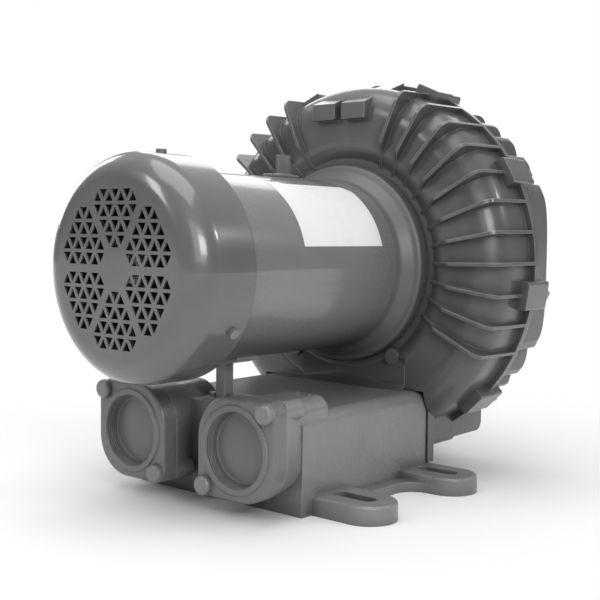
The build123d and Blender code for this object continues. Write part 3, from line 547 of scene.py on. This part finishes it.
dressed = {
    "castings": ("manifold", "conduit_box", "conduit_lid", "motor_support", "inlet_flange_gasket",
                 "outlet_flange_gasket"),
    "fins": ("blower_housing", "blower_cover"),
    "motor": ("motor_frame", "fan_end_bell", "motor_lifting_lug"),
    "bell": ("drive_end_bell",),
    "cover": ("fan_cover",),
    "iron": ("inlet_flange", "outlet_flange"),
    "bolts": ("fan_cover_screws", "motor_through_bolts", "motor_mounting_bolts", "support_screws",
              "conduit_screws", "cover_bolts", "cover_washers", "manifold_bolts", "flange_bolts"),
    "plugs": ("inlet_plug", "outlet_plug"),
    "bright": ("shaft", "fan_clip", "impeller_key", "impeller_washer", "impeller_bolt", "fan_end_bearing",
               "drive_end_bearing", "fan_bearing_inner", "drive_bearing_inner"),
    "core": ("stator_core", "rotor_core"),
    "copper": ("stator_windings",),
    "aluminium": ("impeller",),
    "fan": ("cooling_fan",),
    "rubber": ("conduit_gasket", "manifold_gasket", "shaft_seal"),
    "foam": ("inlet_silencer_foam", "outlet_silencer_foam"),
}


def dress(node, material):
    if not node.material_slots:
        node.data.materials.append(material)
    for place in node.material_slots:
        place.material = material


for finish, nodes in dressed.items():
    for name in nodes:
        dress(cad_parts[name], finishes[finish])
left = set(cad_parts) - {name for nodes in dressed.values() for name in nodes}
print("finishes on", len(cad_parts) - len(left), "nodes; left plain:", sorted(left))


def startPiece(name):
    # names the new or joined object, and its mesh
    piece = bpy.context.object
    piece.name = name
    piece.data.name = name
    return piece


def settle(piece):
    # moves the object's place into its mesh
    deselectAll()
    piece.select_set(True)
    bpy.context.view_layer.objects.active = piece
    bpy.ops.object.transform_apply(location=True, rotation=True, scale=True)


def modify(piece, kind, **settings):
    made = piece.modifiers.new(kind.title(), kind)
    for key, value in settings.items():
        setattr(made, key, value)
    bpy.context.view_layer.objects.active = piece
    bpy.ops.object.modifier_apply(modifier=made.name)


def joined(parts, name):
    deselectAll()
    for part in parts:
        part.select_set(True)
    bpy.context.view_layer.objects.active = parts[0]
    if len(parts) > 1:
        bpy.ops.object.join()
    return startPiece(name)


def finishPiece(piece, finish, body="blower", smoothDegrees=40):
    settle(piece)
    bpy.ops.object.mode_set(mode="EDIT")
    bpy.ops.mesh.select_all(action="SELECT")
    bpy.ops.mesh.normals_make_consistent(inside=False)
    bpy.ops.object.mode_set(mode="OBJECT")
    bpy.ops.object.shade_smooth_by_angle(angle=math.radians(smoothDegrees))
    piece.data.materials.clear()
    piece.data.materials.append(finishes[finish])
    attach(piece, body)
    print("piece", piece.name, len(piece.data.polygons), "faces")


# The bare rating label, wrapped round the motor shell
ratingLabel = {
    "start": -0.089,
    "end": 0.037,
    "lowDegrees": 13.6,        # from +X towards +Z
    "highDegrees": 64.0,
    "cornerCut": 0.009,
    "thickness": 0.00025,
    "lift": 0.00004,
    "steps": 360,
    "rows": 8,
}


def cutAway(point, outward):
    # removes what lies on the side that the normal points to
    bpy.ops.mesh.select_all(action="SELECT")
    bpy.ops.mesh.bisect(plane_co=point, plane_no=outward, clear_outer=True)


def makeRatingLabel(setup):
    deselectAll()
    length = setup["end"] - setup["start"]
    middle = (setup["start"] + setup["end"]) / 2
    radius = shellRadius + setup["lift"]
    bpy.ops.mesh.primitive_cylinder_add(vertices=setup["steps"], radius=radius, depth=length,
                                        end_fill_type="NOTHING", location=(0, middle, axisHeight),
                                        rotation=(math.radians(90), 0, 0))
    piece = startPiece("ratingLabel")
    settle(piece)
    bpy.ops.object.mode_set(mode="EDIT")
    for angle, sign in ((setup["lowDegrees"], -1), (setup["highDegrees"], 1)):
        turn = math.radians(angle)
        cutAway((0, 0, axisHeight), (-math.sin(turn) * sign, 0, math.cos(turn) * sign))
    corner = math.radians(setup["highDegrees"])
    tip = Vector((radius * math.cos(corner), setup["end"], axisHeight + radius * math.sin(corner)))
    along = Vector((-math.sin(corner), 0, math.cos(corner)))
    cut = setup["cornerCut"]
    cutAway(tip - along * cut, (along + Vector((0, 1, 0))).normalized())
    for row in range(1, setup["rows"]):
        bpy.ops.mesh.select_all(action="SELECT")
        bpy.ops.mesh.bisect(plane_co=(0, setup["start"] + length * row / setup["rows"], axisHeight),
                            plane_no=(0, 1, 0))
    bpy.ops.object.mode_set(mode="OBJECT")
    modify(piece, "SOLIDIFY", thickness=setup["thickness"], offset=1.0)
    finishPiece(piece, "label", smoothDegrees=30)


makeRatingLabel(ratingLabel)

# Drops of metal, run together by a remesh
drop = {
    "segments": 14,
    "rings": 8,
    "stretch": 1.15,           # along the motor
    "voxel": 0.0004,
    "smooth": 0.5,
}


def blob(place, radius, squash):
    deselectAll()
    bpy.ops.mesh.primitive_uv_sphere_add(segments=drop["segments"], ring_count=drop["rings"], radius=radius,
                                         location=place)
    part = bpy.context.object
    part.scale = (1.0, drop["stretch"], squash)
    settle(part)
    return part


def melted(parts, name, rounds):
    piece = joined(parts, name)
    modify(piece, "REMESH", mode="VOXEL", voxel_size=drop["voxel"])
    modify(piece, "SMOOTH", factor=drop["smooth"], iterations=rounds)
    return piece


# Weld round the lifting tab, and the spatter beside it
lugWeld = {
    "padHeight": 0.003,        # over the shell
    "tabMiddle": -0.0185,
    "tabHalfLength": 0.00925,
    "sideBead": 0.0028,        # the beads' distance from the middle plane
    "endBead": 0.0014,
    "endReach": 1.08,          # of the tab's half length
    "beadRadius": 0.0019,
    "beadSpacing": 0.0021,
    "beadSwell": 0.16,
    "swellStep": 2.3,
    "beadSquash": 0.7,
    "spatterSquash": 0.5,
    "spatterLift": 0.0002,
    "smoothRounds": 3,
    "spatter": ((0.011, -0.020, 0.0012), (-0.010, -0.041, 0.0010), (0.013, -0.037, 0.0014),
                (0.012, -0.004, 0.0011), (0.009, 0.003, 0.0013), (-0.012, -0.009, 0.0012)),
}


def makeLugWeld(setup):
    padTop = axisHeight + shellRadius + setup["padHeight"]
    half = setup["tabHalfLength"]
    count = int(2 * half / setup["beadSpacing"])
    parts = []
    for index in range(count + 1):
        along = setup["tabMiddle"] - half + index * setup["beadSpacing"]
        swell = 1.0 + setup["beadSwell"] * math.sin(index * setup["swellStep"])
        for across in (-setup["sideBead"], setup["sideBead"]):
            parts.append(blob((across, along, padTop), setup["beadRadius"] * swell, setup["beadSquash"]))
    for end in (-half, half):
        for across in (-setup["endBead"], setup["endBead"]):
            place = (across, setup["tabMiddle"] + end * setup["endReach"], padTop)
            parts.append(blob(place, setup["beadRadius"], setup["beadSquash"]))
    for x, y, radius in setup["spatter"]:
        height = axisHeight + math.sqrt((shellRadius + setup["spatterLift"]) ** 2 - x * x)
        parts.append(blob((x, y, height), radius, setup["spatterSquash"]))
    finishPiece(melted(parts, "lugWeld", setup["smoothRounds"]), "motor", smoothDegrees=80)


makeLugWeld(lugWeld)

# Pipe thread showing in the mouth of each port
portThread = {
    "radius": 0.0362,
    "crest": 0.0009,
    "pitch": 0.0028,
    "lead": 0.55,              # pitches from the mouth to the first crest
    "turns": 4,
    "segments": 96,
    "crestSegments": 8,
}


def makePortThread(name, setup):
    low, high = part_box(name + "_flange")
    middle = (low + high) / 2
    parts = []
    for turn in range(setup["turns"]):
        deselectAll()
        place = (middle.x, low.y + setup["pitch"] * (turn + setup["lead"]), middle.z)
        bpy.ops.mesh.primitive_torus_add(major_segments=setup["segments"],
                                         minor_segments=setup["crestSegments"],
                                         major_radius=setup["radius"], minor_radius=setup["crest"],
                                         location=place, rotation=(math.radians(90), 0, 0))
        parts.append(bpy.context.object)
        settle(parts[-1])
    piece = joined(parts, name + "Thread")
    finishPiece(piece, "iron", smoothDegrees=60)


for portName in ("inlet", "outlet"):
    makePortThread(portName, portThread)

# Small lumps that the mould left on the base casting
castLumps = {
    "places": ((0.086, -0.093, 0.0016), (0.079, -0.088, 0.0012), (0.091, -0.082, 0.0014),
               (0.074, -0.079, 0.0018), (0.083, -0.074, 0.0011), (0.066, -0.072, 0.0013),
               (-0.082, -0.090, 0.0015), (-0.071, -0.083, 0.0012)),
    "squash": 0.45,
    "smoothRounds": 2,
}


def baseTop(x, y):
    # height of the base casting above a point of the floor
    hit, place, *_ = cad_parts["manifold"].ray_cast(Vector((x, y, 1.0)), Vector((0, 0, -1)))
    return place.z


def makeCastLumps(setup):
    parts = [blob((x, y, baseTop(x, y)), radius, setup["squash"]) for x, y, radius in setup["places"]]
    piece = melted(parts, "castLumps", setup["smoothRounds"])
    finishPiece(piece, "castings", smoothDegrees=80)


makeCastLumps(castLumps)

# The casting's apron, swept from the base's top up to the motor seat
apron = {
    "halfWidth": 0.0885,
    "top": 0.131,
    "sweep": 0.020,            # radius of the hollow curve at the foot
    "coneStart": 0.118,        # radii from the motor axis, where the seat turns into the channel wall
    "coneEnd": 0.140,
    "coneDepth": 0.008,
    "ahead": 0.0002,           # of the seat
    "probe": 0.01,             # ahead of the seat, where the base's height is read
    "thickness": 0.005,
    "columns": 118,
    "rows": 26,
}


def makeApron(setup):
    deselectAll()
    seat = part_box("drive_end_bell")[1].y
    foot = baseTop(0, seat - setup["probe"])
    bpy.ops.mesh.primitive_grid_add(x_subdivisions=setup["columns"], y_subdivisions=setup["rows"], size=2)
    piece = startPiece("apronSweep")
    for point in piece.data.vertices:
        x = point.co.x * setup["halfWidth"]
        z = foot + (point.co.y + 1) / 2 * (setup["top"] - foot)
        radius = math.hypot(x, z - axisHeight)
        cone = (radius - setup["coneStart"]) / (setup["coneEnd"] - setup["coneStart"])
        depth = setup["coneDepth"] * min(1.0, max(0.0, cone))
        climb = max(0.0, setup["sweep"] - (z - foot))
        hollow = setup["sweep"] - math.sqrt(max(0.0, setup["sweep"] ** 2 - climb ** 2))
        point.co = (x, seat - max(depth, hollow) - setup["ahead"], z)
    modify(piece, "SOLIDIFY", thickness=setup["thickness"], offset=-1.0)
    finishPiece(piece, "fins", smoothDegrees=50)


makeApron(apron)

floorSetup = {
    "half": 9.0,
    "colour": (0.76, 0.765, 0.77),
    "waverScale": 3.0,         # of the fade's edge
    "waver": 0.05,
    "fadeStart": 0.28,         # metres from the blower, where the floor starts to turn white
    "fadeEnd": 0.85,
    "front": 0.80,             # how white it is in front of the blower
    "frontStart": -0.55,       # metres behind the middle, between which that turns all white
    "frontEnd": 0.5,
    "horizonStart": 1.6,       # beyond this it turns white on every side
    "horizonEnd": 3.5,
}
viewYaw = math.radians(cameraSetup["yawDegrees"])
backward = (-math.sin(viewYaw), math.cos(viewYaw))    # over the floor, away from the camera's place


def makeFloor(setup):
    deselectAll()
    bpy.ops.mesh.primitive_plane_add(size=2 * setup["half"])
    floor = bpy.context.object
    floor.name = "floor"
    f = newFinish("paper floor")
    x, y, z = f.split(f.places())
    far = (x * x + y * y) ** 0.5
    waver = (f.noise(f.places(), setup["waverScale"]) - 0.5) * setup["waver"]
    seen = f.node("LightPath")
    white = (far + waver).between(setup["fadeStart"], setup["fadeEnd"])
    plain = f.node("BsdfDiffuse", {}, {"Color": (*setup["colour"], 1.0)})["BSDF"]
    back = (x * backward[0] + y * backward[1]).between(setup["frontStart"], setup["frontEnd"])
    horizon = far.between(setup["horizonStart"], setup["horizonEnd"])
    glow = back.most(horizon) * (1 - setup["front"]) + setup["front"]
    glowColour = f.blendColour(glow, (0, 0, 0), (1, 1, 1))
    bright = f.node("Emission", {}, {"Color": glowColour, "Strength": 1.0})["Emission"]
    show = seen["Is Camera Ray"].most(seen["Is Glossy Ray"])
    mixed = f.node("MixShader", {}, {0: white * show, 1: plain, 2: bright})["Shader"]
    f.node("OutputMaterial", {}, {"Surface": mixed})
    floor.data.materials.append(f.owner)


studio = {
    "low": 0.14,               # strength near the horizon
    "high": 0.75,              # strength overhead
    "from": 0.15,              # slopes between which the one turns into the other
    "to": 0.95,
    "sweepHeight": 0.25,       # middle of the white paper sweep behind the blower, as a slope
    "sweepStart": 0.35,        # how squarely a ray must meet it, from none to all of its white
    "sweepEnd": 0.85,
    "sweepWhite": 0.42,        # how bright it mirrors
}


def makeWorld(setup):
    f = Finish(bpy.data.worlds.new("studio"))
    bpy.context.scene.world = f.owner
    way = f.node("TexCoord")["Generated"]
    x, y, z = f.split(way)
    sky = z.between(setup["from"], setup["to"]) * (setup["high"] - setup["low"]) + setup["low"]
    middle = Vector((*backward, setup["sweepHeight"])).normalized()
    facing = f.node("VectorMath", {"operation": "DOT_PRODUCT"}, {0: way, 1: middle})["Value"]
    sweep = facing.between(setup["sweepStart"], setup["sweepEnd"])
    seen = f.node("LightPath")
    mirrored = sky.most(sweep * setup["sweepWhite"] * seen["Is Glossy Ray"])
    strength = mirrored.most(seen["Is Camera Ray"])
    light = f.node("Background", {}, {"Color": (1, 1, 1, 1), "Strength": strength})["Background"]
    f.node("OutputWorld", {}, {"Surface": light})


lamps = {
    "overhead": {"place": (0.1, -0.3, 2.0), "aim": (0, 0, 0.2), "size": (1.6, 1.6), "power": 20.0},
    "backStrip": {"place": (-0.9, 1.4, 1.25), "aim": (0, 0, 0.25), "size": (1.5, 0.7), "power": 7.0},
    "leftStrip": {"place": (-1.8, 0.2, 0.95), "aim": (0, -0.1, 0.25), "size": (0.6, 1.1), "power": 8.0},
    "left": {"place": (-0.9, -1.9, 1.3), "aim": (0, -0.1, 0.2), "size": (0.45, 0.8), "power": 9.0},
    "front": {"place": (1.9, -1.0, 1.0), "aim": (0, 0, 0.2), "size": (0.9, 0.6), "power": 15.0},
    "fill": {"place": (1.3, -1.2, 0.85), "aim": (0, 0, 0.12), "size": (1.2, 1.0), "power": 7.0},
    "window": {"place": (1.05, 0.75, 0.9), "aim": (0.1, -0.2, 0.26), "size": (0.16, 0.16), "power": 2.0},
}


def makeLamp(name, setup):
    bpy.ops.object.light_add(type="AREA", location=setup["place"])
    lamp = bpy.context.object
    lamp.name = name
    lamp.data.shape = "RECTANGLE"
    lamp.data.size, lamp.data.size_y = setup["size"]
    lamp.data.energy = setup["power"]
    toward = Vector(setup["aim"]) - Vector(setup["place"])
    lamp.rotation_euler = toward.to_track_quat("-Z", "Y").to_euler()


makeFloor(floorSetup)
makeWorld(studio)
for name, setup in lamps.items():
    makeLamp(name, setup)
bpy.context.scene.view_settings.view_transform = "Standard"
print("floor, lamps and camera set")
